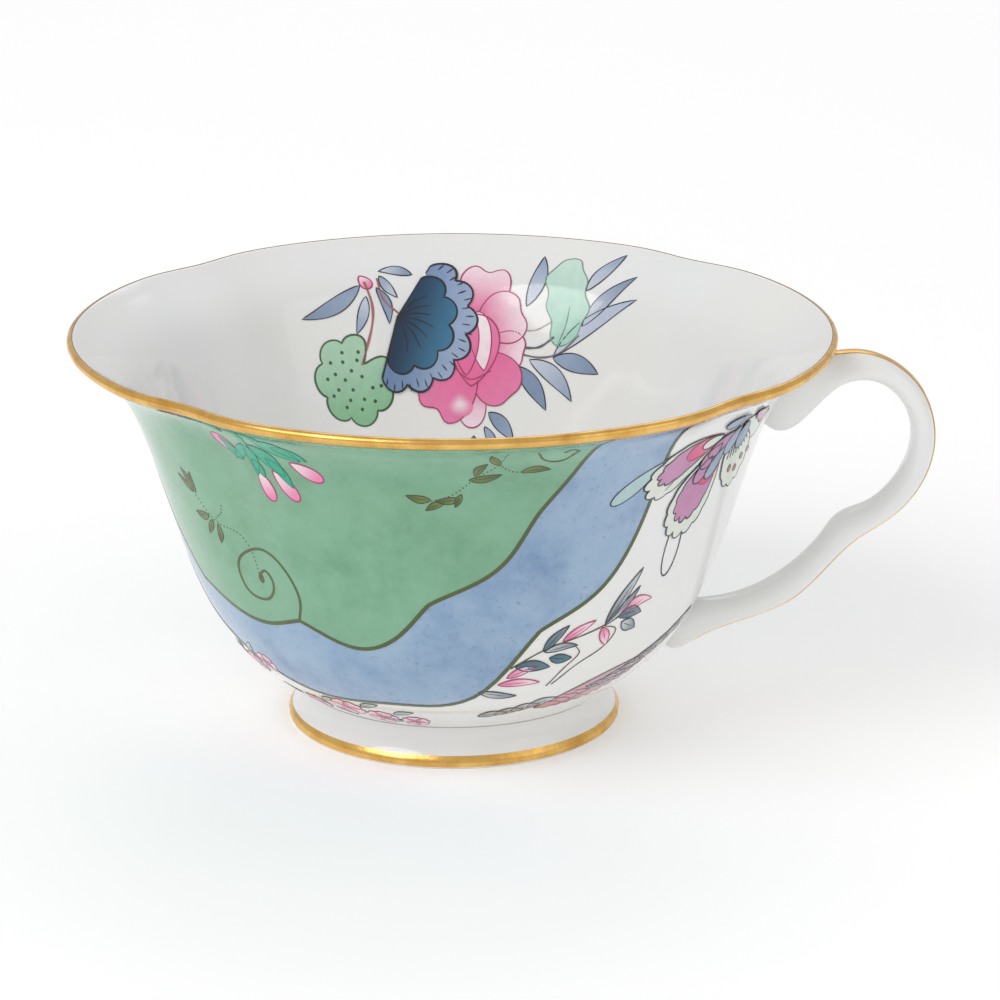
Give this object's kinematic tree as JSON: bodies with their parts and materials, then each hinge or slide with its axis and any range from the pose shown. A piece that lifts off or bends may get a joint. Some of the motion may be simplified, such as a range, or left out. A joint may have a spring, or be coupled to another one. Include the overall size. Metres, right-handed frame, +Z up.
{
  "type": "teacup",
  "caption": "Flared four-lobed bone china teacup with a scroll handle, a low flared foot ring and gilded edges.",
  "frame": {"origin": "centre of the foot ring's resting plane, on the cup's axis", "axes": "+X towards the handle, which lies in the plane Y = 0; +Z up along the cup's axis"},
  "size_m": [0.1236, 0.109, 0.0579],
  "materials": {
    "china": "gloss",
    "gilding": "polished"
  },
  "bodies": {
    "root": {"bowl": "china", "foot_ring": "china", "handle": "china", "rim_gilding": "gilding", "foot_gilding": "gilding", "handle_gilding": "gilding"}
  },
  "joints": []
}
